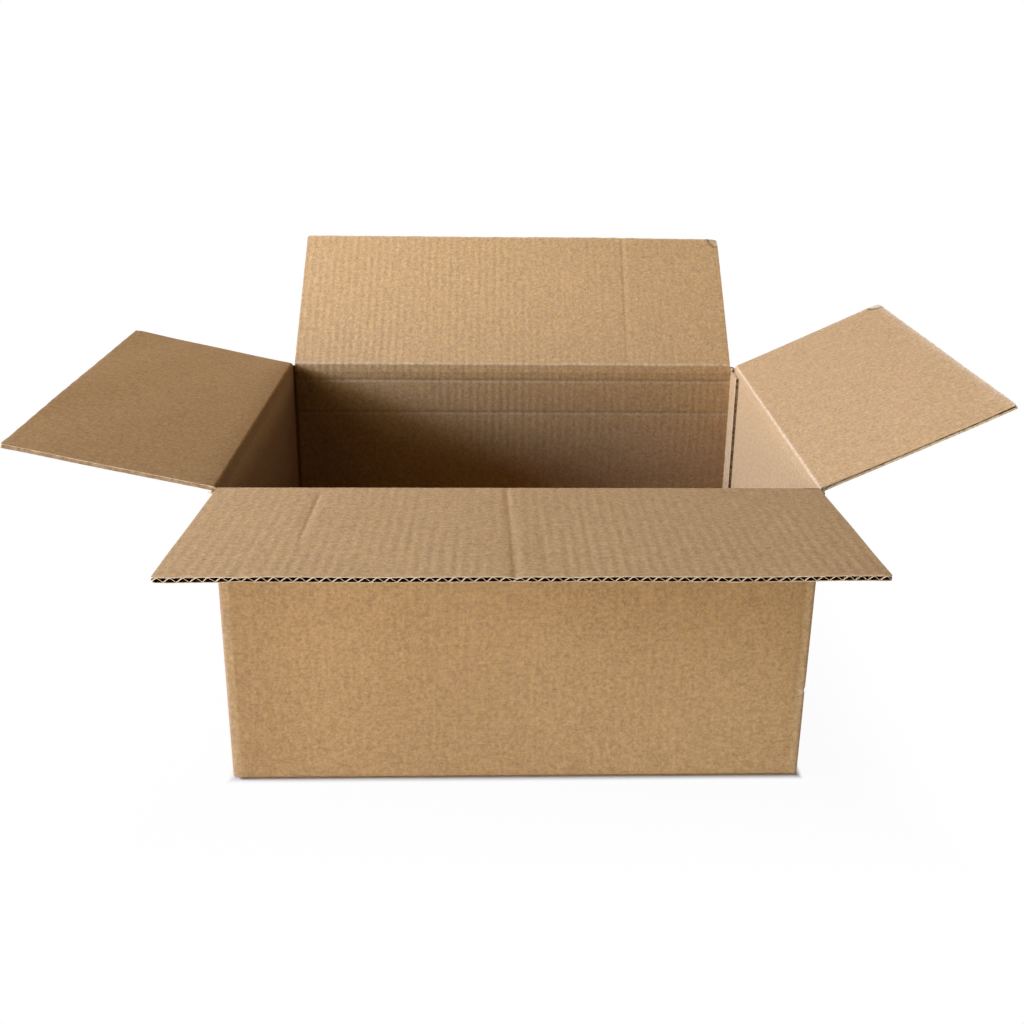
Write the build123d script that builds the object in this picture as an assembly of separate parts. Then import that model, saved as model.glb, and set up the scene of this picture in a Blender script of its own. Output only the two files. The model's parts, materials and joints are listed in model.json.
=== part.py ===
from build123d import *
import math
import os

# Open slotted carton of single-wall corrugated board, in millimetres.
# The origin is the middle of the footprint on the floor: X runs along the length,
# Y away from the front and Z up.

# Inside of the closed carton
inside_length = 381.0
inside_width = 254.0
inside_depth = 203.0

# Corrugated board: two liners glued to the flutes of a wavy medium
board = 3.0
liner = 0.3
medium = 0.25
flute_pitch = 6.5
flute_tip = 0.45  # half the flat under the crest of a flute
flute_web = 0.33  # the medium, measured across a sloping side

# Slots, seams and glue
slot_width = 6.0  # between neighbouring flaps, centred on an upright fold
slot_overcut = 0.3  # a slot reaches this far below the short creases
corner_lift = 0.5  # lower end of an upright fold above the floor
seam_gap = 1.0  # between two free edges that meet
layer_gap = 0.3  # between flaps that lie on each other
tab_width = 18.0  # glue tab, folded from the back panel onto the right one
tab_trim = 3.2  # cut off the tab's ends
joint_setback = 1.0  # from the back panel's inside to the right panel's cut edge

# Creases of the top flaps: long flaps turn on mid-board, short ones on the outer liner
long_hinge_depth = 1.5  # from the outer liner to the hinge line
short_hinge_depth = 0.0
crease_gap = 0.2  # from a hinge line to the board on each side of it
crease_band = 6.5  # outer face crushed beside a long crease
crease_root = 8.0  # from a hinge line to the first open flute
score_drops = (14.0, 43.5)  # height scores inside the back panel, below its crease
score_width = 1.6
score_depth = 0.4

# How far each flap is folded out from upright, in degrees
front_fold_deg = 85.7
back_fold_deg = 43.0
left_fold_deg = 77.6
right_fold_deg = 64.7

outer_length = inside_length + 2 * board
outer_width = inside_width + 2 * board
inner_floor = 2 * board + layer_gap
short_hinge_height = inner_floor + inside_depth + board - short_hinge_depth
long_hinge_height = short_hinge_height + short_hinge_depth + layer_gap + board - long_hinge_depth
slot_floor = short_hinge_height - slot_overcut
corner_stub = (slot_width - board) / 2
bottom_reach = (outer_width - seam_gap) / 2
long_flap = bottom_reach - long_hinge_depth
short_flap = long_flap + long_hinge_height - short_hinge_height
half_long = inside_length / 2 - corner_stub
half_short = inside_width / 2 - corner_stub
joint_half = half_long - board  # the back panel folds one board further in, at the joint

front_turn_deg = 0
right_turn_deg = 90
back_turn_deg = 180
left_turn_deg = 270


def panel(left, right, hinge_depth, hinge_height, outer_band, base, scores=()):
    """A wall and its bottom flap, with the outer face on the XZ plane and the inside at +Y."""
    edge_height = hinge_height - crease_gap
    bevel_foot = edge_height - (board - hinge_depth)
    points = [(0, base + board), (0, edge_height - outer_band)]
    if hinge_depth > 0:
        points.append((hinge_depth, edge_height))
    points.append((board, bevel_foot))
    for drop in scores:
        middle = hinge_height - drop
        points += [
            (board, middle + score_width / 2),
            (board - score_depth, middle),
            (board, middle - score_width / 2),
        ]
    points += [(board, base + board), (bottom_reach, base + board), (bottom_reach, base), (board, base)]
    middle_of_fold = board * (1 - math.sqrt(0.5))
    fold = ThreePointArc((board, base), (middle_of_fold, base + middle_of_fold), (0, base + board))
    section = make_face([*Polyline(*points).edges(), fold])
    return Pos(left, 0, 0) * extrude(Plane.YZ * section, right - left)


def upright_fold(leg, low, high):
    """A quarter turn of board about its inside corner at the origin, with one long leg along +Y."""
    points = [
        (-board, 0),
        (-board, leg),
        (0, leg),
        (0, 0),
        (corner_stub, 0),
        (corner_stub, -board),
        (0, -board),
    ]
    middle = board * math.sqrt(0.5)
    turn = ThreePointArc((0, -board), (-middle, -middle), (-board, 0))
    section = make_face([*Polyline(*points).edges(), turn])
    return Pos(0, 0, low) * extrude(section, high - low)


def carton():
    """Four walls, the glued joint and the bottom flaps: one folded sheet."""
    long_crease = (long_hinge_depth, long_hinge_height, crease_band, 0)
    short_crease = (short_hinge_depth, short_hinge_height, 0, board + layer_gap)
    front = Pos(0, -outer_width / 2, 0) * panel(-half_long, half_long, *long_crease)
    back = Pos(0, -outer_width / 2, 0) * panel(-joint_half, half_long, *long_crease, score_drops)
    side = Pos(0, -outer_length / 2, 0) * panel(-half_short, half_short, *short_crease)
    sheet = front + Rot(0, 0, back_turn_deg) * back
    sheet += Rot(0, 0, left_turn_deg) * side
    sheet += Rot(0, 0, right_turn_deg) * side
    corner = upright_fold(corner_stub, corner_lift, slot_floor)
    half_x = inside_length / 2
    half_y = inside_width / 2
    sheet += Pos(-half_x, -half_y, 0) * corner
    sheet += Pos(half_x, -half_y, 0) * Rot(0, 0, right_turn_deg) * corner
    sheet += Pos(-half_x, half_y, 0) * Rot(0, 0, left_turn_deg) * corner
    # At the back right the back panel folds inside the right one, which ends in a cut edge
    joint = Pos(half_x - board, half_y, 0) * Rot(0, 0, back_turn_deg)
    sheet += joint * upright_fold(corner_stub, corner_lift, slot_floor)
    sheet += joint * upright_fold(tab_width, inner_floor + tab_trim, slot_floor - tab_trim)
    cut_edge = half_y - joint_setback
    edge_strip = Box(
        board,
        cut_edge - half_short,
        slot_floor - inner_floor,
        align=(Align.MIN, Align.MIN, Align.MIN),
    )
    sheet += Pos(half_x, half_short, inner_floor) * edge_strip
    return sheet


def fluted_section(width):
    """The board cut across its flutes: X along the edge, Y from the outer liner to the inner one."""
    count = round(width / flute_pitch)
    pitch = width / count
    crest = board - liner - medium
    slope = medium / (crest - liner)
    base = (pitch / 2 - flute_tip * (1 + slope) - flute_web) / (1 - slope)
    outline = [
        (0, 0),
        (width, 0),
        (width, liner),
        (width - base, liner),
        (width - flute_tip, crest),
        (width, crest),
        (width, board),
        (0, board),
        (0, crest),
        (flute_tip, crest),
        (base, liner),
        (0, liner),
    ]
    channels = []
    for step in range(2 * count - 1):
        middle = (step + 1) * pitch / 2
        foot, top = (liner, crest) if step % 2 else (board - liner, liner + medium)
        corners = [
            (middle - base, foot),
            (middle + base, foot),
            (middle + flute_tip, top),
            (middle - flute_tip, top),
        ]
        channels.append(Wire.make_polygon(corners))
    return Face(Wire.make_polygon(outline), channels)


def flap(left, right, length, hinge_depth, outer_band):
    """An upright flap with its hinge line on the X axis and the inside at +Y."""
    inner_bevel = board - hinge_depth
    points = [(0, crease_gap + outer_band), (0, crease_root), (board, crease_root)]
    points.append((board, crease_gap + inner_bevel))
    if hinge_depth > 0:
        points.append((hinge_depth, crease_gap))
    root = extrude(Plane.YZ * make_face(Polyline(*points, close=True)), right - left)
    fluted = extrude(fluted_section(right - left), length - crease_root)
    return Pos(left, -hinge_depth, 0) * (root + Pos(0, 0, crease_root) * fluted)


def folded_out(upright, turn_deg, half_depth, hinge_depth, hinge_height, fold_deg):
    """The flap on its crease, on the wall that faces the given way, folded out from upright."""
    hinge = Pos(0, hinge_depth - half_depth, hinge_height)
    return Rot(0, 0, turn_deg) * hinge * Rot(fold_deg, 0, 0) * upright


def long_side(upright, turn_deg, fold_deg):
    return folded_out(upright, turn_deg, outer_width / 2, long_hinge_depth, long_hinge_height, fold_deg)


def short_side(upright, turn_deg, fold_deg):
    return folded_out(upright, turn_deg, outer_length / 2, short_hinge_depth, short_hinge_height, fold_deg)


full_flap = flap(-half_long, half_long, long_flap, long_hinge_depth, crease_band)
joint_flap = flap(-joint_half, half_long, long_flap, long_hinge_depth, crease_band)
end_flap = flap(-half_short, half_short, short_flap, short_hinge_depth, 0)

parts = {
    "carton_body": carton(),
    "front_flap": long_side(full_flap, front_turn_deg, front_fold_deg),
    "back_flap": long_side(joint_flap, back_turn_deg, back_fold_deg),
    "left_flap": short_side(end_flap, left_turn_deg, left_fold_deg),
    "right_flap": short_side(end_flap, right_turn_deg, right_fold_deg),
}

os.makedirs("parts", exist_ok=True)
for name, shape in parts.items():
    export_step(shape, f"parts/{name}.step")
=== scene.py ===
import json
import math

import bpy
import numpy as np
from mathutils import Matrix, Vector


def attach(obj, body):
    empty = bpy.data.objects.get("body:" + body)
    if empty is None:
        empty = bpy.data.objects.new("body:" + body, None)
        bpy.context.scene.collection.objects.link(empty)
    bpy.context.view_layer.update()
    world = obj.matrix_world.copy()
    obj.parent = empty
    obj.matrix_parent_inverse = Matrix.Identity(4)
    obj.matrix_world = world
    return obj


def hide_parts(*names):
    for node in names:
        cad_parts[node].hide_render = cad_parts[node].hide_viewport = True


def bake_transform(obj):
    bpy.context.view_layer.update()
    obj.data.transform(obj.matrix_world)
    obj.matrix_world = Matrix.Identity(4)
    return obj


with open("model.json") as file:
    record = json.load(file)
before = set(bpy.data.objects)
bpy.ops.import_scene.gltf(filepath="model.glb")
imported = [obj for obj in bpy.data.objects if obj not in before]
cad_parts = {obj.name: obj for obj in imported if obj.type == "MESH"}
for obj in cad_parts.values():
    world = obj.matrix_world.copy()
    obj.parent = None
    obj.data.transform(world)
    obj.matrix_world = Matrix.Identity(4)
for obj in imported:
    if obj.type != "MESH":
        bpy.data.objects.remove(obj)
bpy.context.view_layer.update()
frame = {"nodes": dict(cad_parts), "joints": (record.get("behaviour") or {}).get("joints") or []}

scene = bpy.context.scene
scene.view_settings.view_transform = "Standard"
mm = 0.001
up = np.array([0.0, 0.0, 1.0])

board = {
    "thickness": 3.0,
    "liner": 0.26,
    "pitch": 6.5,
    "foldRadius": 0.5,  # inside the upright folds
    "foldReach": 1.5,  # from a wall's inside to the slots
    "strip": 7.0,  # wall that a flap's piece brings along below its hinge line
    "creaseReach": 1.5,  # half of the rounded part of a crease
    "blendReach": 5.0,  # from a hinge line
    "sharpDegrees": 38,  # edges that stay sharp
}


# Shader maths and node trees

class Wire:
    def __init__(self, tree, socket=None):
        self.tree = tree
        self.socket = socket

    def node(self, kind, settings=None, sockets=None, output=0):
        made = self.tree.nodes.new(kind)
        for key, value in (settings or {}).items():
            setattr(made, key, value)
        for key, value in (sockets or {}).items():
            if isinstance(value, Wire):
                self.tree.links.new(value.socket, made.inputs[key])
            else:
                made.inputs[key].default_value = value
        return Wire(self.tree, made.outputs[output])

    def attribute(self, name):
        return self.node("ShaderNodeAttribute", {"attribute_name": name}, output="Fac")

    def part(self, axis):
        return self.node("ShaderNodeSeparateXYZ", {}, {"Vector": self}, axis)

    def maths(self, operation, first, second=0.0, third=0.0):
        return self.node("ShaderNodeMath", {"operation": operation}, {0: first, 1: second, 2: third})

    def between(self, low, high):  # 0 below low, 1 above high, smooth
        kind = {"interpolation_type": "SMOOTHSTEP"}
        return self.node("ShaderNodeMapRange", kind, {"Value": self, "From Min": low, "From Max": high})

    def mixed(self, first, second, blend="MIX"):  # this value is the share of the second colour
        kind = {"data_type": "RGBA", "blend_type": blend}
        return self.node("ShaderNodeMix", kind, {0: self, 6: first, 7: second}, 2)


def addOperator(name, kind):
    setattr(Wire, f"__{name}__", lambda self, other: self.maths(kind, self, other))
    setattr(Wire, f"__r{name}__", lambda self, other: self.maths(kind, other, self))


for name, kind in (("add", "ADD"), ("sub", "SUBTRACT"), ("mul", "MULTIPLY"), ("truediv", "DIVIDE")):
    addOperator(name, kind)


def emptyTree(owner):
    owner.use_nodes = True
    owner.node_tree.nodes.clear()
    return Wire(owner.node_tree)


def newMaterial(name):
    material = bpy.data.materials.new(name)
    return material, emptyTree(material)


def finishTree(wire, surface, kind="Material"):
    output = wire.tree.nodes.new("ShaderNodeOutput" + kind)
    wire.tree.links.new(surface.socket, output.inputs["Surface"])


def addObject(name, data):
    made = bpy.data.objects.new(name, data)
    scene.collection.objects.link(made)
    return made


def finishPaper(wire, tone, roughness, specular, bump=None):
    sockets = {"Base Color": tone, "Roughness": roughness, "Specular IOR Level": specular}
    if bump:
        strength, distance, height = bump
        bumped = {"Strength": strength, "Distance": distance, "Height": height}
        sockets["Normal"] = wire.node("ShaderNodeBump", {}, bumped)
    finishTree(wire, wire.node("ShaderNodeBsdfPrincipled", {}, sockets))


kraft = {
    "dark": (0.25, 0.152, 0.068, 1),
    "light": (0.69, 0.442, 0.212, 1),
    "olive": (1.0, 1.018, 0.93, 1),
    "rosy": (1.0, 0.978, 1.07, 1),
    "pale": (0.74, 0.61, 0.46, 1),  # scuffed fibres, and painted highlights
    "fleck": (0.16, 0.09, 0.038, 1),
    "clumps": 1.45,  # contrast of the paper's clumps, streaks and fibres
    "streaks": 0.3,
    "fibres": 0.3,
    "noise": {  # scale, detail and roughness
        "clump": (420.0, 3.0, 0.85),
        "tint": (330.0, 2.0, 0.7),
        "streak": (10.0, 3.0, 0.6),
        "fibre": (16.0, 2.0, 0.6),
        "fleck": (330.0, 1.0, 0.4),
    },
    "streakStretch": (34.0, 5.5, 1.0),  # along the flutes
    "fibreStretch": (5.0, 60.0, 1.0),  # across them
    "darkFlecks": 0.5,
    "paleFlecks": 0.4,
    "roughness": 0.88,
    "specular": 0.22,
    "bump": (0.25, 0.00025),  # strength and depth
}


def kraftPaper(name):
    material, wire = newMaterial(name)
    place = wire.node("ShaderNodeTexCoord", output="Object")
    flat = wire.node("ShaderNodeUVMap", {"uv_map": "boardMap"})

    def noise(kind, where=place):
        scale, detail, roughness = kraft["noise"][kind]
        sockets = {"Vector": where, "Scale": scale, "Detail": detail, "Roughness": roughness}
        return wire.node("ShaderNodeTexNoise", {}, sockets)

    def stretched(turns):
        return wire.node("ShaderNodeMapping", {}, {"Vector": flat, "Scale": turns})

    clump = noise("clump")
    tint = noise("tint")
    streak = noise("streak", stretched(kraft["streakStretch"]))
    fibre = noise("fibre", stretched(kraft["fibreStretch"]))
    fleck = noise("fleck")
    wearAndHighlight = wire.attribute("wearAndHighlight")

    middle = 0.5 * (1.0 - kraft["clumps"] - kraft["streaks"] - kraft["fibres"])
    share = clump * kraft["clumps"] + streak * kraft["streaks"] + fibre * kraft["fibres"] + middle
    tone = share.mixed(kraft["dark"], kraft["light"])
    hue = tint.between(0.35, 0.65).mixed(kraft["olive"], kraft["rosy"])
    multiply = {"data_type": "RGBA", "blend_type": "MULTIPLY"}
    tone = wire.node("ShaderNodeMix", multiply, {0: 1.0, 6: tone, 7: hue}, 2)
    tone = (fleck.between(0.76, 0.8) * kraft["darkFlecks"]).mixed(tone, kraft["fleck"])
    tone = ((1.0 - fleck).between(0.77, 0.8) * kraft["paleFlecks"]).mixed(tone, kraft["pale"])
    # wear and painted highlights lift the colour towards pale
    tone = (wearAndHighlight * (0.55 + 0.45 * clump.between(0.4, 0.6))).mixed(tone, kraft["pale"])
    # painted shade: the shade attribute multiplies the dark tone into the colour
    tone = wire.attribute("shade").mixed(tone, kraft["dark"], "MULTIPLY")

    relief = clump * 0.9 + fibre * 0.5
    roughness = kraft["roughness"] - 0.08 * clump
    finishPaper(wire, tone, roughness, kraft["specular"], (*kraft["bump"], relief))
    return material


cutPaper = {
    "rim": ((0.76, 0.62, 0.45, 1), (0.54, 0.39, 0.24, 1), 420.0),  # two tones, scale of the frayed spots
    # cut through the flutes: mottled paper with painted shade of the flute hollows
    "core": ((0.34, 0.22, 0.11, 1), (0.13, 0.08, 0.038, 1), 300.0),
    # painted shade: near black inside the open flutes
    "channelShade": ((0.12, 0.026, 0.002, 1), (0.12, 0.026, 0.002, 1), 200.0),
    # pale cut, and painted shade deeper in the flutes
    "medium": ((0.85, 0.72, 0.55, 1), (0.11, 0.023, 0.0015, 1), 700.0),
    "bump": (0.3, 0.0002),  # strength and depth
    "roughness": 0.95,
    "mediumVaries": 0.4,
    "specular": 0.1,
}


def frayed(wire, scale):
    place = wire.node("ShaderNodeTexCoord", output="Object")
    return wire.node("ShaderNodeTexNoise", {}, {"Vector": place, "Scale": scale, "Detail": 2.0})


def cutEdge(name, first, second, scale):
    material, wire = newMaterial(name)
    fray = frayed(wire, scale)
    tone = fray.between(0.35, 0.65).mixed(first, second)
    # painted shade, from the same shade attribute
    tone = wire.attribute("shade").mixed(tone, kraft["dark"], "MULTIPLY")
    finishPaper(wire, tone, cutPaper["roughness"], cutPaper["specular"], (*cutPaper["bump"], fray))
    return material


def mediumPaper(name):
    material, wire = newMaterial(name)
    pale, deep, scale = cutPaper["medium"]
    fray = frayed(wire, scale)
    varies = cutPaper["mediumVaries"]
    # pale at the cut, painted shade behind it
    share = wire.attribute("mouth") * (1.0 - varies + varies * fray)
    finishPaper(wire, share.mixed(deep, pale), 0.9 + 0.05 * fray, cutPaper["specular"])
    return material


linerPaper = kraftPaper("kraftLiner")
rimPaper = cutEdge("linerCutEdge", *cutPaper["rim"])
corePaper = cutEdge("fluteCutEdge", *cutPaper["core"])
channelShadePaper = cutEdge("fluteChannelShade", *cutPaper["channelShade"])
flutePaper = mediumPaper("fluteMedium")
print("materials made")


# Folded board as one closed sheet

def smooth(low, high, value):
    share = np.clip((value - low) / (high - low), 0.0, 1.0)
    return share * share * (3.0 - 2.0 * share)


def bell(gap, wide):
    return np.exp(-((gap / wide) ** 2))


def faded(gap, reach):  # 1 at an edge, less further in
    return np.exp(-np.clip(gap, 0, None) / reach)


def patchy(share, curve):
    return 1 - share + share * curve


def wander(seed, length, waves=6):  # smooth seeded curve, about -1 to 1
    rng = np.random.default_rng(seed)
    turns = 2 * math.pi / length * rng.uniform(0.45, 1.7, waves)
    starts = rng.uniform(0, 2 * math.pi, waves)

    def curve(value):
        value = np.asarray(value, float)
        return sum(np.sin(turn * value + start) for turn, start in zip(turns, starts)) / math.sqrt(waves)

    return curve


linerFace, rimFace, coreFace, channelShadeFace = range(4)  # material slots of a sheet


def sheetObject(name, inner, outer, present, hollow, bridge, flat, marks, liners):
    count = inner[..., 0].size
    ids = np.arange(count).reshape(inner.shape[:2])
    for column in np.nonzero(bridge.any(1))[0]:  # two columns at one place share their points
        joined = np.nonzero(bridge[column])[0]
        span = np.arange(joined.min(), joined.max() + 2)
        ids[column + 1, span] = ids[column, span]
    across = outer - inner
    across = across / np.linalg.norm(across, axis=2, keepdims=True)
    innerLiner, outerLiner = liners
    layers = [inner, inner + across * innerLiner[..., None], outer - across * outerLiner[..., None], outer]
    points = np.concatenate([layer.reshape(-1, 3) for layer in layers]) * mm
    iCell, jCell = np.nonzero(present & ~bridge)
    n00, n10 = ids[iCell, jCell], ids[iCell + 1, jCell]
    n01, n11 = ids[iCell, jCell + 1], ids[iCell + 1, jCell + 1]
    open_ = hollow[iCell, jCell]
    quads = []
    kinds = []

    def add(kind, *corners):
        quads.append(np.stack(corners, 1))
        kinds.append(np.full(len(corners[0]), kind))

    add(linerFace, n00, n10, n11, n01)
    add(linerFace, 3 * count + n00, 3 * count + n01, 3 * count + n11, 3 * count + n10)
    add(channelShadeFace, *(count + n[open_] for n in (n00, n01, n11, n10)))
    add(channelShadeFace, *(2 * count + n[open_] for n in (n00, n10, n11, n01)))
    there = np.pad(present, 1)
    empty = np.pad(hollow, 1)
    sides = ((n00, n10, 0, -1), (n10, n11, 1, 0), (n11, n01, 0, 1), (n01, n00, -1, 0))
    for a, b, di, dj in sides:
        beside = there[iCell + 1 + di, jCell + 1 + dj]
        solidBeside = beside & ~empty[iCell + 1 + di, jCell + 1 + dj]
        rim = ~beside
        ra, rb = a[rim], b[rim]
        add(rimFace, rb, ra, count + ra, count + rb)
        add(rimFace, 2 * count + rb, 2 * count + ra, 3 * count + ra, 3 * count + rb)
        cut = rim & ~open_
        ca, cb = a[cut], b[cut]
        add(coreFace, count + cb, count + ca, 2 * count + ca, 2 * count + cb)
        wall = open_ & solidBeside
        wa, wb = a[wall], b[wall]
        add(channelShadeFace, count + wa, count + wb, 2 * count + wb, 2 * count + wa)
    quads = np.concatenate(quads)
    kinds = np.concatenate(kinds)
    used, quads = np.unique(quads, return_inverse=True)
    quads = quads.reshape(-1, 4)

    mesh = bpy.data.meshes.new(name)
    mesh.from_pydata(points[used], [], quads, shade_flat=False)
    mesh.polygons.foreach_set("material_index", kinds.astype(np.int32))
    uv = np.concatenate([np.stack([f.ravel() for f in flat], 1) * mm] * 4)[used]
    mesh.uv_layers.new(name="boardMap").data.foreach_set("uv", uv[quads.ravel()].astype(np.float32).ravel())
    for mark, (inside, outside) in marks.items():
        values = np.concatenate([inside.ravel(), inside.ravel(), outside.ravel(), outside.ravel()])[used]
        attribute = mesh.attributes.new(mark, "FLOAT", "POINT")
        attribute.data.foreach_set("value", np.clip(values, 0, 1).astype(np.float32))
    for material in (linerPaper, rimPaper, corePaper, channelShadePaper):
        mesh.materials.append(material)
    mesh.set_sharp_from_angle(angle=math.radians(board["sharpDegrees"]))
    mesh.validate()
    return addObject(name, mesh)


# Flutes: one strip of wavy medium per cut edge, by Geometry Nodes

flutes = {
    "depth": 11.0,
    "rows": 5,
    "crowding": 1.8,  # rows drawn towards the cut edge
    "columnsPerFlute": 12,
    "thickness": 0.4,
    "flanks": (0.75, 0.5),  # share of the thickness in every other flank, and more in the rest
    "steepness": 1.3,  # 1 is a plain zigzag, more has flatter tips
    "faint": 0.85,  # tone of every other flank: painted shade of the flanks that face away from the light
    "lean": 1.3,
    "leanTurns": (0.11, 0.04),  # how fast the lean varies along the edge and behind it
    "recess": 0.12,  # behind the liners' cut edges
    "mouth": 0.05,  # share of the depth that shows the pale cut, with painted shade behind it
}


def fluteTree():
    tree = bpy.data.node_groups.new("fluteStrip", "GeometryNodeTree")
    numbers = ("Length", "Depth", "Pitch", "Height", "Thickness", "Phase", "Steepness", "Lean")
    kinds = {"Float": (*numbers, "Faint", "Seed"), "Int": ("Columns", "Rows"), "Material": ("Paper",)}
    for kind, names in kinds.items():
        for name in names:
            tree.interface.new_socket(name, in_out="INPUT", socket_type="NodeSocket" + kind)
    tree.interface.new_socket("Geometry", in_out="OUTPUT", socket_type="NodeSocketGeometry")
    wire = Wire(tree)
    given = tree.nodes.new("NodeGroupInput")
    value = {socket.name: Wire(tree, socket) for socket in given.outputs if socket.name}
    grid = wire.node("GeometryNodeMeshGrid", {}, {
        "Size X": value["Length"],
        "Size Y": value["Depth"],
        "Vertices X": value["Columns"],
        "Vertices Y": value["Rows"],
    })
    position = wire.node("GeometryNodeInputPosition")
    along = position.part("X")
    deep = position.part("Y")
    saw = wire.maths("PINGPONG", along + value["Phase"], value["Pitch"] * 0.5)
    wave = saw * 4.0 / value["Pitch"] - 1.0
    wave = wire.maths("MAXIMUM", wire.maths("MINIMUM", wave * value["Steepness"], 1.0), -1.0)
    alongTurns, deepTurns = flutes["leanTurns"]
    where = {"X": along * alongTurns + value["Seed"], "Y": deep * deepTurns}
    sway = wire.node("ShaderNodeTexNoise", {"noise_dimensions": "2D"}, {
        "Vector": wire.node("ShaderNodeCombineXYZ", {}, where),
        "Scale": 1.0,
        "Detail": 3.0,
    })
    turns = wire.maths("MODULO", along + value["Phase"], value["Pitch"])
    falling = wire.maths("GREATER_THAN", turns, value["Pitch"] * 0.5)
    shift = (sway - 0.5) * value["Lean"] * (1.0 + wave)
    offset = wire.node("ShaderNodeCombineXYZ", {}, {"X": shift, "Z": wave * value["Height"] * 0.5})
    waved = wire.node("GeometryNodeSetPosition", {}, {"Geometry": grid, "Offset": offset})
    # mouth: pale cut, with painted shade on every other flank
    marked = wire.node("GeometryNodeStoreNamedAttribute", {"data_type": "FLOAT", "domain": "POINT"}, {
        "Geometry": waved,
        "Name": "mouth",
        "Value": value["Faint"] + (1.0 - value["Faint"]) * falling,
    })
    least, more = flutes["flanks"]
    raised = wire.node("GeometryNodeExtrudeMesh", {"mode": "FACES"}, {
        "Mesh": marked,
        "Offset Scale": value["Thickness"] * (least + more * falling),
        "Individual": False,
    })
    turned = wire.node("GeometryNodeFlipFaces", {}, {"Mesh": marked})
    both = tree.nodes.new("GeometryNodeJoinGeometry")
    tree.links.new(raised.socket, both.inputs[0])
    tree.links.new(turned.socket, both.inputs[0])
    joined = Wire(tree, both.outputs[0])
    welded = wire.node("GeometryNodeMergeByDistance", {}, {"Geometry": joined, "Distance": 0.001})
    real = wire.node("GeometryNodeRealizeInstances", {}, {"Geometry": welded})
    painted = wire.node("GeometryNodeSetMaterial", {}, {"Geometry": real, "Material": value["Paper"]})
    tree.links.new(painted.socket, tree.nodes.new("NodeGroupOutput").inputs[0])
    return tree


fluteGroup = fluteTree()


def fluteStrip(name, low, high, edge, surface, seed):  # surface(u, v, share from outer to inner face)
    width = high - low
    count = max(1, round(width / board["pitch"]))
    inside = board["thickness"] - 2 * board["liner"]
    settings = {key.capitalize(): value for key, value in flutes.items()}
    settings |= {
        "Length": width - 0.3,
        "Pitch": width / count,
        "Height": inside - flutes["thickness"] - 0.02,
        "Phase": width / 2,
        "Seed": float(seed),
        "Columns": count * flutes["columnsPerFlute"] + 1,
        "Paper": flutePaper,
    }
    maker = addObject(name + "Maker", bpy.data.meshes.new(name + "Maker"))
    modifier = maker.modifiers.new("flutes", "NODES")
    modifier.node_group = fluteGroup
    for socket in fluteGroup.interface.items_tree:
        if socket.in_out == "INPUT":
            modifier[socket.identifier] = settings[socket.name]
    ready = maker.evaluated_get(bpy.context.evaluated_depsgraph_get())
    mesh = bpy.data.meshes.new_from_object(ready)
    maker.modifiers.remove(modifier)
    bpy.data.objects.remove(maker)
    co = np.zeros(len(mesh.vertices) * 3)
    mesh.vertices.foreach_get("co", co)
    co = co.reshape(-1, 3)
    u = (low + high) / 2 + co[:, 0]
    behind = np.clip(0.5 - co[:, 1] / flutes["depth"], 0.0, 1.0)
    v = edge - flutes["recess"] - flutes["depth"] * behind ** flutes["crowding"]
    share = 0.5 + (co[:, 2] - flutes["thickness"] / 2) / board["thickness"]
    mesh.vertices.foreach_set("co", (surface(u, v, share) * mm).astype(np.float32).ravel())
    mouth = mesh.attributes["mouth"].data
    tone = np.zeros(len(mesh.vertices), np.float32)
    mouth.foreach_get("value", tone)
    mouth.foreach_set("value", tone * (behind < flutes["mouth"]))  # painted shade behind the cut edge
    mesh.shade_flat()
    mesh.update()
    return addObject(name, mesh)


# Top flaps, each with the crease that joins it to its wall

plainFlap = {
    "creaseShade": 0.0,  # painted shade beside the crease
    "overhang": 0.6,  # outer liner past the inner one at the free edge
    "rub": (0.7, 0.75, 0.0),  # pale free edge: reach and share, and share along the low side
    "dragged": (0.2, 0.2),  # fibres dragged over the flutes, at the low and the high side
    # painted shade on the outer band of the side cuts
    "edgeShade": 0.3,
    "sideBand": 1.1,  # outer liner and flute flank in a side cut
    "crackShadeReach": 0.0,  # painted shade of the gaps in a split crease: its reach from the low end
    "curl": 0.8,
    "grooves": [],  # place at the crease and at the free edge, depth, width, start and stop
    "dents": [],  # bent corners: side, reach, drop and wear
    "pinches": [],  # place, width and share
}
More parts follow.
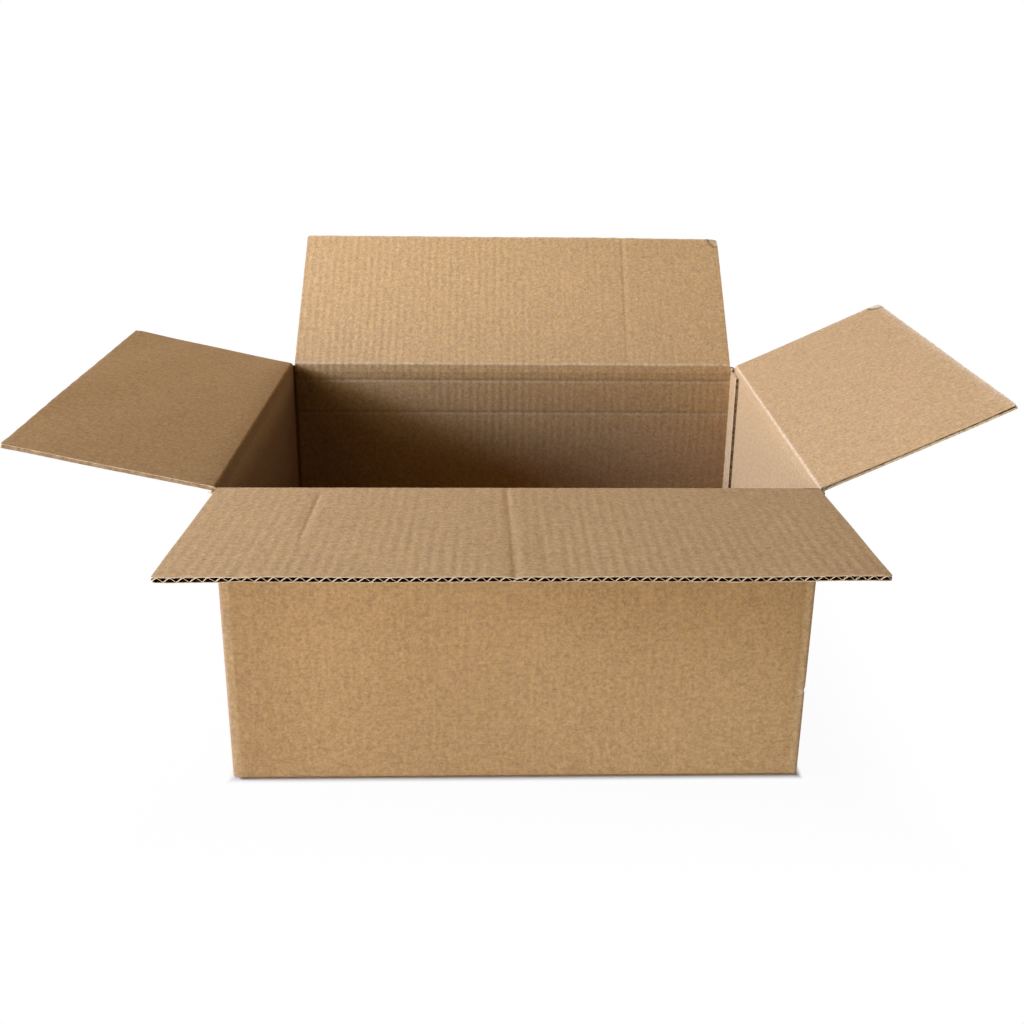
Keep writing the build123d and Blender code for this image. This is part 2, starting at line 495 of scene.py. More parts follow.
# a flap's shade is painted shade over its whole face, for the light that it gets
flapLooks = {
    "front_flap": {
        **plainFlap,
        "piece": "frontFlap",
        "seed": 11,
        "creaseWearAndHighlight": 0.2,
        "shade": 0.1,
        "washboard": (0.055, 0.02, -0.2, 0.5),  # how deep, variation, lopsided, share at the crease
        "overhang": 0.0,
        "dragged": (0.2, 0.04),
        "crackShadeReach": 13.0,
        "curl": -0.2,
        "grooves": [
            (8.8, 4.9, 0.34, 2.0, -2, 150),
            (123.8, 122.5, 0.32, 1.6, 2, 92),
            (-9.8, -12.4, 0.12, 1.8, 66, 150),
        ],
        "pinches": [(144.7, 5.0, 0.5), (4.6, 4.0, 0.45), (-26.0, 5.0, 0.4)],
    },
    "back_flap": {
        **plainFlap,
        "piece": "backFlap",
        "seed": 23,
        "creaseWearAndHighlight": 0.6,
        "shade": 0.0,
        "washboard": (0.039, 0.012, -0.65, 1.0),
        "curl": -0.5,
        "grooves": [(96.5, 98.0, 0.2, 2.0, -3, 150)],
        "dents": [(1, 10.0, 2.2, 1.0)],
    },
    "left_flap": {
        **plainFlap,
        "piece": "leftFlap",
        "seed": 37,
        "creaseWearAndHighlight": 0.12,
        "creaseShade": 0.2,
        "shade": 0.2,
        "washboard": (0.046, 0.02, 0.0, 1.0),
        "overhang": 0.3,
        "edgeShade": 0.7,
        "sideBand": 2.0,
        "dents": [(1, 6.0, 0.4, 0.7)],
    },
    "right_flap": {
        **plainFlap,
        "piece": "rightFlap",
        "seed": 41,
        "creaseWearAndHighlight": 0.62,
        "shade": 0.165,
        "washboard": (0.035, 0.018, 0.0, 1.0),
        "rub": (2.2, 1.0, 1.0),
        "edgeShade": 0.0,
        "dents": [(-1, 12.0, 0.7, 1.0)],
    },
}
form = {
    "swell": 0.22,  # across the flap, and from the crease to the free edge
    "swellDown": 0.15,
    "creaseShadeReach": 8.0,
    "creaseWearAndHighlightReach": 0.9,
    "grooveEnds": (10.0, 25.0),  # run-in and run-out
    "dentCreaseShade": 0.7,  # painted shade along the crease round a dent
    "pinchReach": 5.0,
    "outerWear": 0.6,  # share of the wear on the outer face
    "splitShade": 0.95,
    "cornerRadius": 1.6,
    "ragged": (0.1, 0.04, 8.0),  # free edge: long and short waves, and their reach
}
sideCut = {  # board beside the knife's cuts along the flutes
    "crush": 0.12,
    "reach": 1.6,
    "innerLiner": 0.2,  # inner liner with frayed fibres
    "closed": 1.2,  # board pressed shut beside a crease
    "rub": 0.2,
    "draggedReach": 0.6,
}
openRows = (12.0, 10.0, 8.0, 6.0, 4.5, 3.2, 2.2, 1.4, 0.8, 0.35, 0.0)  # of a flap, from its free edge
jointOf = {joint["child"]: joint for joint in frame["joints"]}


class Flap:
    def __init__(self, name):
        joint = jointOf[name]
        look = flapLooks[name]
        self.name = name
        self.look = look
        self.hinge = np.array(joint["pos_m"]) / mm
        self.along = np.array(joint["axis"], float)
        self.outward = np.cross(up, self.along)
        self.fold = math.radians(joint["range_deg"][1] - 90.0)
        self.flat = np.array([math.sin(self.fold), math.cos(self.fold)])  # outward and up
        self.face = np.array([-math.cos(self.fold), math.sin(self.fold)])
        self.direction = self.outward * self.flat[0] + up * self.flat[1]
        normal = self.outward * self.face[0] + up * self.face[1]
        solid = np.array([v.co for v in frame["nodes"][name].data.vertices]) / mm - self.hinge
        self.low = (solid @ self.along).min()
        self.high = (solid @ self.along).max()
        self.middle = (self.low + self.high) / 2
        self.half = (self.high - self.low) / 2
        self.length = (solid @ self.direction).max()
        self.outerDepth = -(solid @ normal).min()  # from the hinge line to the outer face
        self.innerDepth = (solid @ normal).max()
        self.edgeWander = wander(look["seed"], 23.0)
        self.edgeFray = wander(look["seed"] + 1, 4.0)
        self.swell = wander(look["seed"] + 2, 160.0, 4)
        self.swellDown = wander(look["seed"] + 3, 110.0, 4)
        self.boardWander = wander(look["seed"] + 4, 90.0, 5)
        self.ripple = wander(look["seed"] + 7, 7.0)

    def profile(self, v, depth, reach):  # depth from the hinge line towards the inside
        strip = board["strip"]
        mitre = depth * math.tan(self.fold / 2)
        stretch = (strip + mitre) / strip

        def straight(value):
            wall = np.stack([np.full_like(value, -depth), (value + strip) * stretch - strip], -1)
            away = np.where(value < strip, strip - (strip - value) * stretch, value)
            return np.where(value[..., None] < 0, wall, away[..., None] * self.flat + depth * self.face)

        share = np.clip((v + reach) / (2 * reach), 0.0, 1.0)[..., None]
        ends = straight(np.array([-reach, 0.0, reach]))
        bend = (1 - share) ** 2 * ends[0] + 2 * share * (1 - share) * ends[1] + share**2 * ends[2]
        return np.where((np.abs(v) < reach)[..., None], bend, straight(v))

    def offsets(self, u, v):
        look = self.look
        pitch = 2 * self.half / max(1, round(2 * self.half / board["pitch"]))
        onFlap = smooth(2.0, 9.0, v)
        away = v / self.length
        reached = np.clip(away, 0, 1)
        mean, varies, lopsided, atCrease = look["washboard"]
        strength = mean * (1 + lopsided * (u - self.middle) / self.half)
        strength = strength + varies * self.boardWander(u + 0.4 * v)
        strength = np.clip(strength, 0.0, 0.12)
        strength = strength * (atCrease + (1 - atCrease) * reached)
        strength = strength * (1 - 0.8 * smooth(self.length - 4.0, self.length, v))
        inner = strength * np.cos(2 * math.pi * (u - self.low) / pitch)
        outer = inner  # along the inner normal: the outer liner's tips are half a pitch on
        swell = form["swell"] * self.swell(u) + form["swellDown"] * self.swellDown(v + 0.5 * u)
        shift = (look["curl"] * away + swell) * away * onFlap
        wearAndHighlight = np.zeros_like(u + v)
        shade = wearAndHighlight + look["shade"] + look["creaseShade"] * bell(v, form["creaseShadeReach"])
        runIn, runOut = form["grooveEnds"]
        for first, last, deep, wide, start, stop in look["grooves"]:
            where = first + (last - first) * reached
            cut = deep * bell(u - where, wide)
            cut = cut * smooth(start, start + runIn, v)
            cut = cut * (1 - smooth(stop - runOut, stop, v))
            inner = inner - cut
            outer = outer - 0.3 * cut
        for side, reach, drop, scuff in look["dents"]:
            gap = np.hypot(u - self.middle - side * self.half, v - self.length)
            bent = np.clip(1 - gap / reach, 0, 1)
            shift = shift - drop * bent**1.5
            torn = bent * (1 + 0.2 * self.ripple(u * 2 + v * 3))
            wearAndHighlight = np.maximum(wearAndHighlight, scuff * smooth(0.15, 0.4, torn))
            # painted shade along the dent's crease
            shade = shade + form["dentCreaseShade"] * bell(torn - 0.1, 0.1) * (bent > 0)
        edgeGap = self.length - v
        for place, wide, share in look["pinches"]:
            pressed = share * bell(u - place, wide) * faded(edgeGap, form["pinchReach"])
            inner = inner - pressed
            outer = outer + 0.6 * pressed
        sideGap = np.minimum(u - self.low, self.high - u)
        crushed = sideCut["crush"] * faded(sideGap, sideCut["reach"]) * onFlap
        inner = inner - crushed
        outer = outer + crushed
        rubReach, freeRub, lowRub = look["rub"]
        rubbedAndShaded = freeRub * faded(edgeGap, rubReach)
        rubbedAndShaded = np.maximum(rubbedAndShaded, sideCut["rub"] * faded(sideGap, 0.6) * onFlap)
        rubbedAndShaded = np.maximum(rubbedAndShaded, lowRub * faded(u - self.low, rubReach) * reached)
        wearAndHighlight = np.maximum(wearAndHighlight, rubbedAndShaded * patchy(0.35, self.edgeFray(u + 1.7 * v)))
        # pale crease: whitened liner and a painted highlight
        creased = look["creaseWearAndHighlight"] * bell(v, form["creaseWearAndHighlightReach"])
        wearAndHighlight = np.maximum(wearAndHighlight, creased * patchy(0.25, self.edgeFray(u * 0.6)))
        # painted shade of the gaps in the split crease
        if look["crackShadeReach"]:
            crackShadow = np.clip(1 - (u - self.low) / look["crackShadeReach"], 0, 1)
            crackShadow = smooth(0.05, 0.35, crackShadow * (1 + 0.5 * self.edgeFray(u * 2.0)))
            crackShadow = crackShadow * bell(v - 0.8, 1.6)
            wearAndHighlight = wearAndHighlight * (1 - crackShadow)
            shade = shade + form["splitShade"] * crackShadow
        return shift, inner, outer, wearAndHighlight, shade

    def placed(self, u, v):
        u, v = np.broadcast_arrays(np.asarray(u, float), np.asarray(v, float))
        length = self.length
        radius = form["cornerRadius"]
        aside = np.clip((np.abs(u - self.middle) - (self.half - radius)) / radius, 0, 1)
        ahead = np.clip((v - (length - radius)) / radius, 0, 1)
        uu = u - np.sign(u - self.middle) * radius * (aside - aside * np.sqrt(1 - ahead * ahead / 2))
        vv = v - radius * (ahead - ahead * np.sqrt(1 - aside * aside / 2))
        longWaves, shortWaves, raggedReach = form["ragged"]
        ragged = longWaves * self.edgeWander(u) + shortWaves * self.edgeFray(u)
        vv = vv + smooth(length - raggedReach, length, v) * ragged
        shift, inner, outer, wearAndHighlight, shade = self.offsets(u, v)
        turn = smooth(-3.0, 3.0, v)[..., None]
        facing = turn * self.face + (1 - turn) * np.array([-1.0, 0.0])
        facing = facing / np.linalg.norm(facing, axis=-1, keepdims=True)
        longer = vv + self.look["overhang"] * smooth(length - 3.0, length, v)

        def solid(line, offset):
            line = line + facing * (shift + offset)[..., None]
            flat = line[..., :1] * self.outward + line[..., 1:] * up
            return self.hinge + uu[..., None] * self.along + flat

        innerFace = solid(self.profile(vv, self.innerDepth, board["creaseReach"]), inner)
        outerFace = solid(self.profile(longer, -self.outerDepth, 1.0), outer)
        return innerFace, outerFace, wearAndHighlight, shade

    def between(self, u, v, share):
        inner, outer, _, _ = self.placed(u, v)
        return outer + (inner - outer) * share[..., None]

    def grid(self):
        low, high, length = self.low, self.high, self.length
        count = round((high - low) / board["pitch"]) * 6
        beside = np.array([0.4, 1.2, 2.2])
        columns = np.concatenate([np.linspace(low, high, count + 1), low + beside, high - beside])
        for first, last, *_ in self.look["grooves"]:
            middle = (first + last) / 2
            columns = np.concatenate([columns, middle + np.array([-1.3, -0.5, 0.0, 0.5, 1.3])])
        columns = np.unique(np.round(columns, 3))
        columns = columns[np.concatenate([[True], np.diff(columns) > 0.12])]
        columns[-1] = high
        near = [0.25, 0.6, 1.0, 1.5, 2.1, 3.0, 4.2, 5.6]
        rows = [-board["strip"], *(-gap for gap in reversed(near)), *near, 8.0, 11.0]
        rows += [*np.arange(16.0, length - 15.0, 5.5), *(length - gap for gap in openRows)]
        return columns, np.array(rows)

    def build(self):
        look = self.look
        low, high, length = self.low, self.high, self.length
        columns, rows = self.grid()
        u, v = np.meshgrid(columns, rows, indexing="ij")
        inner, outer, wearAndHighlight, shade = self.placed(u, v)
        present = np.ones((len(columns) - 1, len(rows) - 1), bool)
        hollow = np.zeros_like(present)
        hollow[:, 1 - len(openRows):] = True
        cutSide = faded(np.minimum(u - low, high - u), 0.7)
        closed = sideCut["closed"] * (1 - smooth(1.0, 5.0, v))
        dragged = np.interp(u, (low, high), look["dragged"])
        liner = board["liner"] + dragged * faded(length - v, sideCut["draggedReach"])
        thickness = np.linalg.norm(outer - inner, axis=2)
        innerLiner = liner + (sideCut["innerLiner"] + closed) * cutSide
        innerLiner = np.minimum(innerLiner, 0.47 * thickness)
        outerLiner = liner + look["sideBand"] * cutSide
        outerLiner = np.minimum(outerLiner, thickness - innerLiner - 0.15)
        # painted shade on the outer face beside the side cuts
        outerShade = carton["shade"] + (look["edgeShade"] - carton["shade"]) * cutSide
        made = sheetObject(
            look["piece"], inner, outer, present, hollow, np.zeros_like(present), (u, v),
            {"wearAndHighlight": (wearAndHighlight, wearAndHighlight * form["outerWear"]), "shade": (shade, outerShade)},
            (innerLiner, outerLiner),
        )
        strip = fluteStrip(look["piece"] + "Flutes", low, high, length, self.between, look["seed"])
        reach = self.direction + up
        reach = reach * board["blendReach"] * mm / np.linalg.norm(reach)
        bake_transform(made)
        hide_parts(self.name)
        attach(strip, self.name)
        print(look["piece"], len(made.data.polygons), "faces", len(strip.data.polygons), "flute faces")


# Walls, glue tab and bottom flaps: one sheet followed round the carton

carton = {
    "half": (190.5, 127.0),  # inside faces of the walls
    "tabFace": 187.4,  # inside face of the glue tab
    "tabEnd": 109.0,
    "tabCrush": (0.35, 2.0),  # tab pressed flat at its free edge: how far, and reach
    "tabWear": 0.6,
    "cutEdge": 126.0,  # right wall's raw edge at the joint
    "bottomReach": 126.5,  # a bottom flap, from its wall's inside
    "shortBase": 3.3,  # short bottom flaps lie on the long ones
    "bottomRadius": 1.2,
    "tops": (207.1, 205.3),  # long and short walls, where the flaps' pieces begin
    "slotFloor": 212.0,
    "tabTop": 208.8,
    "tabFoot": 9.5,
    "foot": 2.0,  # lower end of the upright folds
    "scores": (200.1, 170.6),
    "score": (0.3, 1.2, 0.2),  # depth, width and painted shade
    "scoreLipHighlight": (1.4, 0.8, 0.32),  # painted highlight on the lower lip: place below, width and strength
    "washboard": (0.036, 0.5, 6.0),  # how deep, variation, and fade at the folds
    "upperBack": (150.0, 1.6),  # stronger above this height inside the back wall
    "frontCrease": {"at": -134.0, "foot": 100.0, "top": 154.0, "ends": 14, "deep": 0.14, "wide": 1.8},
    "nick": {"height": 67.0, "size": 1.8, "deep": 0.6, "wearAndHighlight": 0.9},  # on the front right fold
    "swell": 0.35,  # walls not quite flat
    "slotWear": 0.7,
    "foldWear": 0.06,
    "shut": 1.1,  # board pressed shut at the slots and at the tab's top
    # painted shade over the whole carton, set against the flaps' own
    "shade": 0.215,
    "leftFoldShade": 0.36,  # painted shade on the front left fold, which turns towards the light
    "foldHighlights": (0.12, 0.1),  # along the front folds: painted highlight, and less painted shade at the right one
    "besideFold": 0.12,  # darker beside the left one
    "backLeftFoldShade": (2.4, 0.8),  # painted shade in the back left inner fold: width and strength
    "leftInsideShade": 0.42,  # painted shade inside the left wall
    "frontFlapShadow": 0.13,  # front wall: painted shadow of the front flap at the top, painted light at the lower right
    "frontLowRightLight": 0.17,
    "seed": 5,
}
walls = ("front", "back", "left", "right")
sections = {"long": ("front", "back"), "short": ("left", "right", "edge"), "upright": ("corner", "tab")}


def straight(x0, y0, x1, y1, nx, ny, step, zone):
    count = max(1, round(math.hypot(x1 - x0, y1 - y0) / step))
    share = np.linspace(0, 1, count + 1)
    return [(x0 + (x1 - x0) * s, y0 + (y1 - y0) * s, nx, ny, zone) for s in share]


def corner(cx, cy, start, zone):  # inward normal turns a quarter clockwise from the start angle
    reach, radius = board["foldReach"], board["foldRadius"]
    first = np.array([math.cos(start), math.sin(start)])
    last = np.array([math.sin(start), -math.cos(start)])
    middle = np.array([cx, cy]) - (reach - radius) * (first + last)
    made = [(*(np.array([cx, cy]) - reach * first), *first, zone)]
    for turn in np.linspace(0, math.pi / 2, 9):
        normal = first * math.cos(turn) + last * math.sin(turn)
        made.append((*(middle - radius * normal), *normal, zone))
    made.append((*(np.array([cx, cy]) - reach * last), *last, zone))
    return made


def cartonColumns():
    halfX, halfY = carton["half"]
    reach = board["foldReach"]
    endX, endY = halfX - reach, halfY - reach
    step = board["pitch"] / 4
    tab, hem = carton["tabFace"], carton["tabEnd"]
    quarter = math.pi / 2
    made = straight(halfX, carton["cutEdge"], halfX, endY, -1, 0, step, "edge")
    made += straight(halfX, endY, halfX, -endY, -1, 0, step, "right")
    made += corner(endX, -endY, 2 * quarter, "corner")
    made += straight(endX, -halfY, -endX, -halfY, 0, 1, step, "front")
    made += corner(-endX, -endY, quarter, "corner")
    made += straight(-halfX, -endY, -halfX, endY, 1, 0, step, "left")
    made += corner(-endX, endY, 0, "corner")
    made += straight(-endX, halfY, tab - reach, halfY, 0, -1, step, "back")
    made += corner(tab - reach, endY, -quarter, "corner")
    made += straight(tab, endY, tab, hem + 2.0, -1, 0, step, "tab")
    made += straight(tab, hem + 1.4, tab, hem, -1, 0, 0.7, "tab")
    return made


columns = cartonColumns()
wallX, wallY, inX, inY = np.array([c[:4] for c in columns], float).T[..., None]
zones = np.array([c[4] for c in columns])
steps = np.hypot(np.diff(wallX, axis=0), np.diff(wallY, axis=0))
arc = np.concatenate([np.zeros((1, 1)), np.cumsum(steps, axis=0)])
flapRows = carton["bottomReach"] - np.array([0, 0.4, 1.0, 2.0, 5.0, 12.0, 40.0, 80.0, 115.0])
longFoot = board["thickness"] + carton["bottomRadius"]
shortFoot = carton["shortBase"] + longFoot
nick = carton["nick"]
besideScore = (-3.2, -1.8, -0.9, 0.0, 0.9, 1.8, 3.2)
heights = [longFoot, shortFoot, carton["tabFoot"], 21.0, 46.0, 78.0, 94.0, 112.0]
heights += [142.0, 152.0, 160.0, 182.0, 190.0]
heights += [nick["height"] + gap for gap in (-2.4, -1.2, 0.0, 1.2, 2.4)]
heights += [score + gap for score in carton["scores"] for gap in besideScore]
heights += [*carton["tops"], carton["tabTop"], carton["slotFloor"]]
heights = np.unique(heights)
bendRows = 7  # between a bottom flap and its wall
firstWall = len(flapRows) + bendRows
rowHeight = np.concatenate([np.full(firstWall, -1.0), heights])
sheetShape = (len(columns), len(rowHeight))


def onZone(*names):
    return np.isin(zones, names)[:, None]


def atFold(sideX, sideY):
    return onZone("corner") & (wallX * sideX > 0) & (wallY * sideY > 0)


tabGap = np.clip(wallY - carton["tabEnd"], 0, None)
scores = np.array(carton["scores"])[:, None]
scoreDepth, scoreWide, scoreShade = carton["score"]
lipBelow, lipWide, lipHighlight = carton["scoreLipHighlight"]
foldHighlight, lessShade = carton["foldHighlights"]
# painted shade along the scores, and a painted highlight on their lower lips
scored = onZone("back") * bell(rowHeight - scores, scoreWide).sum(0)
scoreLipHighlight = onZone("back") * bell(rowHeight - scores + lipBelow, lipWide).sum(0)
nicked = atFold(1, -1) * bell(rowHeight - nick["height"], nick["size"])
slotRow = smooth(carton["slotFloor"] - 2.0, carton["slotFloor"], rowHeight)
onFront = onZone("front") | (onZone("corner") & (wallY < 0))
foldStrip = onFront * smooth(185.6, 187.6, np.abs(wallX))


def cartonSection(kind):  # inward reach and height of the inner and the outer face, row by row
    thick, bend = board["thickness"], carton["bottomRadius"]
    made = []
    for depth in (0.0, thick):
        if kind == "upright":
            rise = np.linspace(carton["foot"], longFoot, bendRows + 1)[:-1]
            level = np.concatenate([np.full(len(flapRows), carton["foot"]), rise, heights])
            made.append((np.full(sheetShape[1], -depth), level))
            continue
        base, more = (0.0, 1) if kind == "long" else (carton["shortBase"], 2)
        turn = np.linspace(math.pi / 2, 0, bendRows + more)
        wall = heights[more:]
        radius = bend + depth
        inward = np.concatenate([flapRows, bend - radius * np.cos(turn), np.full(len(wall), -depth)])
        rise = base + thick + bend - radius * np.sin(turn)
        level = np.concatenate([np.full(len(flapRows), base + thick - depth), rise, wall])
        made.append((inward, level))
    return made


def cartonFaces():
    faces = np.zeros((2, *sheetShape, 3))  # inner and outer
    run = np.zeros(sheetShape)  # height along the sheet
    for kind, names in sections.items():
        mine = np.isin(zones, names)
        rows = cartonSection(kind)
        for face, (inward, level) in zip(faces, rows):
            face[mine, :, 0] = wallX[mine] + inX[mine] * inward
            face[mine, :, 1] = wallY[mine] + inY[mine] * inward
            face[mine, :, 2] = level
        run[mine] = np.concatenate([-flapRows, rows[0][1][len(flapRows):]])
    dips = cartonDips()
    for face, dip in zip(faces, dips):
        face[..., 0] += inX * dip
        face[..., 1] += inY * dip
    return *faces, run


def cartonCells():  # cells of the grid that are board, that join two zones and that hold open flutes
    low, high = rowHeight[:-1], rowHeight[1:]
    row = np.arange(len(low))
    near = 1e-6
    tops = dict(zip(walls, np.repeat(carton["tops"], 2)))
    foots = dict(zip(walls, np.repeat((longFoot, shortFoot), 2)))
    spans = {wall: high <= top + near for wall, top in tops.items()}
    spans["corner"] = row >= len(flapRows)
    spans["edge"] = low >= shortFoot - near
    spans["tab"] = (low >= carton["tabFoot"] - near) & (high <= carton["tabTop"] + near)
    present, bridge, hollow = np.zeros((3, len(zones) - 1, len(low)), bool)
    for i, (first, second) in enumerate(zip(zones[:-1], zones[1:])):
        present[i] = spans[first] & spans[second]
        if first == second:
            hollow[i] = present[i] & (row < 5) & (first in walls)
            continue
        for zone in (first, second):
            present[i] &= low >= foots.get(zone, -math.inf) - near
        bridge[i] = present[i]
    return present, bridge, hollow


def cartonDips():  # inward, on the inner and the outer face
    phase = np.zeros_like(arc)
    fade = np.zeros_like(arc)
    deep, varies, fadeReach = carton["washboard"]
    for wall in walls:
        mine = zones == wall
        along = arc[mine] - arc[mine][0]
        width = along[-1, 0]
        phase[mine] = 2 * math.pi * along / (width / round(width / board["pitch"]))
        fade[mine] = smooth(0, fadeReach, np.minimum(along, width - along))
    patch = wander(carton["seed"], 120.0)
    swell = wander(carton["seed"] + 2, 210.0, 4)
    wallRow = smooth(firstWall - 3, firstWall + 3, np.arange(sheetShape[1]))
    strength = deep * (1 + varies * patch(arc)) * fade * wallRow
    upperFrom, stronger = carton["upperBack"]
    strength = np.where(onZone("back") & (rowHeight > upperFrom), strength * stronger, strength)
    bulge = smooth(8.0, 90.0, rowHeight) * (1 - smooth(120.0, 200.0, rowHeight))
    wave = strength * np.cos(phase) + carton["swell"] * fade * swell(arc) * bulge
    crush, crushReach = carton["tabCrush"]
    pressed = onZone("tab") * crush * faded(tabGap, crushReach)
    crease = carton["frontCrease"]
    ends = smooth(crease["foot"], crease["foot"] + crease["ends"], rowHeight)
    ends = ends * (1 - smooth(crease["top"] - crease["ends"], crease["top"], rowHeight))
    dented = onZone("front") * crease["deep"] * bell(wallX - crease["at"], crease["wide"]) * ends
    return wave - scoreDepth * scored - pressed, wave + dented + nick["deep"] * nicked


def cartonWearAndHighlights():  # on the inner and the outer face
    wearAndHighlight = carton["slotWear"] * slotRow * onZone("corner")
    fray = wander(carton["seed"] + 1, 5.0)
    tabWear = carton["tabWear"] * onZone("tab") * faded(tabGap, 1.0)
    tabWear = tabWear * patchy(0.3, fray(rowHeight))
    wearAndHighlightIn = np.maximum(np.maximum(wearAndHighlight, tabWear), lipHighlight * scoreLipHighlight)
    wearAndHighlightOut = np.maximum(wearAndHighlight, carton["foldWear"] * onZone("corner"))
    wearAndHighlightOut = np.maximum(wearAndHighlightOut, nick["wearAndHighlight"] * nicked)
    # painted highlight along the front folds
    return wearAndHighlightIn, np.maximum(wearAndHighlightOut, foldHighlight * foldStrip)


def cartonShades():  # on the inner and the outer face
    # painted shade on the front left fold, strongest where it faces the light
    rubbedAndShaded = atFold(-1, -1) * np.sqrt(np.clip(2 * inX * inY, 0, 1))
    # painted shadow of the front flap on the top of the front wall, and painted light at its lower right
    top = carton["frontFlapShadow"] * smooth(90.0, 190.0, rowHeight)
    low = carton["frontLowRightLight"] * smooth(-70.0, 130.0, wallX)
    low = low * (1 - smooth(40.0, 150.0, rowHeight))
    beside = smooth(-187.0, -185.4, wallX) * (1 - smooth(-182.0, -120.0, wallX))
    shadeOut = carton["shade"] + carton["leftFoldShade"] * rubbedAndShaded
    shadeOut = shadeOut + onFront * (top - low + carton["besideFold"] * beside)
    # painted light: less shade on the front right fold
    shadeOut = shadeOut - lessShade * foldStrip * (wallX > 0)
    # painted shade along the back left inner fold
    lineWide, lineShade = carton["backLeftFoldShade"]
    foldGap = arc - arc[atFold(-1, 1)].mean()
    # painted shade inside the left wall, below the crease
    belowCrease = 1 - smooth(180.0, carton["tops"][1], rowHeight)
    shadeIn = carton["shade"] + scoreShade * scored + lineShade * bell(foldGap, lineWide)
    return shadeIn + carton["leftInsideShade"] * onZone("left") * belowCrease, shadeOut


def cartonLiner():
    tabRow = smooth(carton["tabTop"] - 1.6, carton["tabTop"], rowHeight)
    return board["liner"] + carton["shut"] * np.maximum(slotRow * onZone("corner"), tabRow * onZone("tab"))


def buildCarton():
    inner, outer, run = cartonFaces()
    present, bridge, hollow = cartonCells()
    liner = cartonLiner()
    flat = (np.broadcast_to(arc, sheetShape), run)
    marks = {"wearAndHighlight": cartonWearAndHighlights(), "shade": cartonShades()}
    made = sheetObject("cartonBoard", inner, outer, present, hollow, bridge, flat, marks, (liner, liner))
    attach(made, "carton")
    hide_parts("carton_body")
    print("cartonBoard", len(made.data.polygons), "faces")


def buildBottomFlutes():  # in the free edges of the two short bottom flaps
    halfX, halfY = carton["half"]
    endY = halfY - board["foldReach"]
    for side, name in ((-1, "leftBottomFlutes"), (1, "rightBottomFlutes")):

        def surface(u, v, share):
            level = carton["shortBase"] + board["thickness"] * share
            return np.stack([side * (halfX - v), u, level], -1)

        strip = fluteStrip(name, -endY, endY, carton["bottomReach"], surface, carton["seed"] + side)
        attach(strip, "carton")


tornLiner = {  # bit of liner that curls out of the front left slot
    "base": (-191.75, -129.53),
    "facing": (-0.5, -0.866),
    "path": [  # outwards and up
        (0.15, 204.5), (0.2, 207.0), (0.3, 209.5), (0.5, 211.5),
        (0.9, 213.0), (1.6, 213.8), (2.3, 213.6), (2.6, 213.0),
    ],
    "widths": [0.4, 1.4, 2.5, 3.3, 3.6, 3.5, 3.2, 2.8],
    # painted shade over the whole curl
    "shade": 0.3,
}


def buildTornLiner():
    facing = np.array([*tornLiner["facing"], 0.0])
    across = np.cross(up, facing)
    path = np.array(tornLiner["path"])
    slope = np.gradient(path, axis=0)
    slope = slope / np.linalg.norm(slope, axis=1, keepdims=True)
    base = np.array([*tornLiner["base"], 0.0])
    points = []
    for (out, height), (run, rise), width in zip(path, slope, tornLiner["widths"]):
        centre = base + facing * out + up * height
        front = (facing * rise - up * run) * board["liner"] / 2
        side = across * width / 2
        left, right = centre - side, centre + side
        points += [left + front, right + front, right - front, left - front]
    rows = len(path)
    faces = [(3, 2, 1, 0), tuple(4 * (rows - 1) + k for k in range(4))]
    for row in range(rows - 1):
        for k in range(4):
            after = (k + 1) % 4
            faces.append((4 * row + k, 4 * row + after, 4 * row + 4 + after, 4 * row + 4 + k))
    mesh = bpy.data.meshes.new("tornLiner")
    mesh.from_pydata([tuple(point * mm) for point in points], [], faces)
    mesh.materials.append(rimPaper)
    tone = mesh.attributes.new("shade", "FLOAT", "POINT")
    tone.data.foreach_set("value", np.full(len(points), tornLiner["shade"], np.float32))
    made = addObject("tornLiner", mesh)
    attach(made, "carton")


for flapName in flapLooks:
    Flap(flapName).build()
buildCarton()
buildBottomFlutes()
buildTornLiner()


# Floor, light and camera

stage = {
    "size": 6.0,  # half of the floor, in metres
    "floorTone": 0.58,  # for the light that the floor sends back
    "seenTone": (0.62, 0.56, 0.48, 1),  # for the camera
    "whiten": (0.96, 1.0),  # share of white that the camera sees: beside the box and far off
    "whitenReach": (0.002, 0.007, 0.12),
    "world": 0.02,
}


def seenDirectly(wire):  # 1 for camera, glossy and transmission rays
    path = wire.tree.nodes.new("ShaderNodeLightPath")
    seen = 0.0
    for ray in ("Camera", "Glossy", "Transmission"):
        seen = wire.maths("MAXIMUM", seen, Wire(wire.tree, path.outputs[f"Is {ray} Ray"]))
    return seen


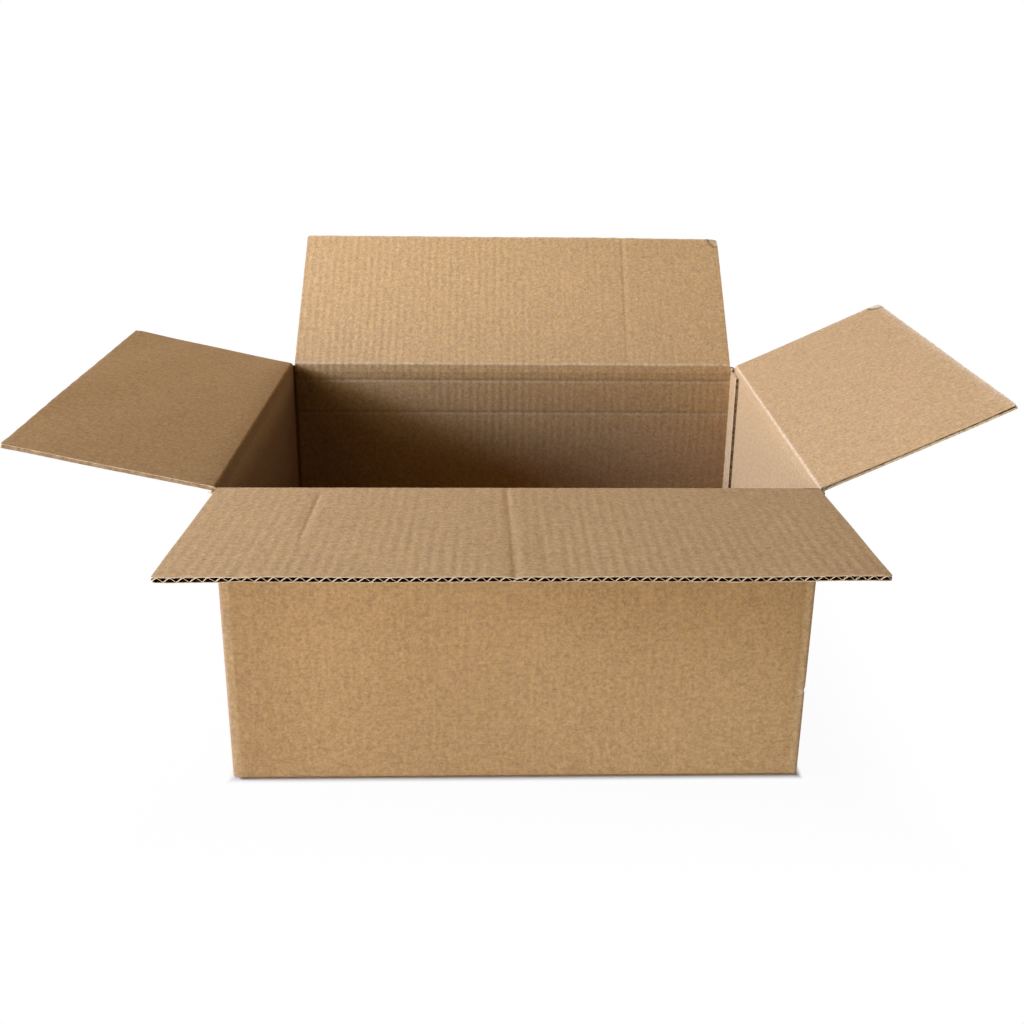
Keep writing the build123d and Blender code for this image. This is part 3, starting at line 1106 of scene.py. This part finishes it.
def makeStage():
    size = stage["size"]
    mesh = bpy.data.meshes.new("floor")
    corners = [(-size, -size, 0), (size, -size, 0), (size, size, 0), (-size, size, 0)]
    mesh.from_pydata(corners, [], [(0, 1, 2, 3)])
    floor = addObject("floor", mesh)
    material, wire = newMaterial("paleFloor")
    place = wire.node("ShaderNodeTexCoord", output="Object")
    across = wire.maths("ABSOLUTE", place.part("X"))
    along = wire.maths("ABSOLUTE", place.part("Y"))
    halfX, halfY = (half * mm for half in carton["half"])
    away = wire.maths("MAXIMUM", across - halfX, along - halfY)
    near, far = stage["whiten"]
    first, second, third = stage["whitenReach"]
    share = away.between(first, second) * near + away.between(second, third) * (far - near)
    tone = stage["floorTone"]
    plain = wire.node("ShaderNodeBsdfDiffuse", {}, {"Color": (tone, tone, tone, 1)})
    pale = wire.node("ShaderNodeBsdfDiffuse", {}, {"Color": stage["seenTone"]})
    white = wire.node("ShaderNodeEmission", {}, {"Color": (1, 1, 1, 1), "Strength": 1.0})
    shown = wire.node("ShaderNodeMixShader", {}, {0: share, 1: pale, 2: white})
    finishTree(wire, wire.node("ShaderNodeMixShader", {}, {0: seenDirectly(wire), 1: plain, 2: shown}))
    mesh.materials.append(material)

    scene.world = bpy.data.worlds.new("studio")
    wire = emptyTree(scene.world)
    dim = wire.node("ShaderNodeBackground", {}, {"Color": (1, 1, 1, 1), "Strength": stage["world"]})
    white = wire.node("ShaderNodeBackground", {}, {"Color": (1, 1, 1, 1), "Strength": 1.0})
    surface = wire.node("ShaderNodeMixShader", {}, {0: seenDirectly(wire), 1: dim, 2: white})
    finishTree(wire, surface, "World")


lamps = {  # towards, size, power and colour
    "window": ((-0.93, -0.08, 0.35), 0.6, 132.0, (0.512, 0.655, 1.0)),
    "frontLeft": ((-0.48, -0.88, 0.03), 1.4, 55.0, (1.0, 0.94, 0.78)),
    "ceiling": ((-0.6, 0.1, 0.8), 1.4, 22.0, (1.0, 0.67, 0.1)),
    "back": ((0.2, 0.97, 0.05), 1.4, 20.0, (1.0, 0.97, 0.92)),
    "right": ((0.97, 0.2, 0.03), 1.4, 14.0, (1.0, 0.97, 0.92)),
}
lampDistance = 2.2
lampAim = Vector((0, 0, 0.16))


def makeLamps():
    for name, (towards, size, power, colour) in lamps.items():
        light = bpy.data.lights.new(name, "AREA")
        light.shape = "DISK"
        light.size = size
        light.energy = power
        light.color = colour
        towards = Vector(towards).normalized()
        made = addObject(name, light)
        made.location = lampAim + towards * lampDistance
        made.rotation_euler = towards.to_track_quat("Z", "Y").to_euler()


camera = {
    "place": (-13.99, -731.33, 492.41),
    "turns": {"Z": -1.912, "X": -16.602, "Y": -0.876},  # yaw, pitch and roll
    "image": 1024.0,  # width in pixels, for the next two
    "focal": 1046.7,
    "centre": (533.0, 340.0),
    "nearest": 0.01,
}


def makeCamera():
    turn = Matrix.Identity(3)
    for axis, degrees in camera["turns"].items():
        turn = turn @ Matrix.Rotation(math.radians(degrees), 3, axis)
    right, ahead, above = turn.col[0], turn.col[1], turn.col[2]
    matrix = Matrix((right, above, -ahead)).transposed().to_4x4()
    matrix.translation = Vector(camera["place"]) * mm
    data = bpy.data.cameras.new("camera")
    image = camera["image"]
    data.lens = camera["focal"] * data.sensor_width / image
    data.shift_x = (image / 2 - camera["centre"][0]) / image
    data.shift_y = (camera["centre"][1] - image / 2) / image
    data.clip_start = camera["nearest"]
    scene.camera = addObject("camera", data)
    scene.camera.matrix_world = matrix


makeStage()
makeLamps()
makeCamera()
print("stage made")
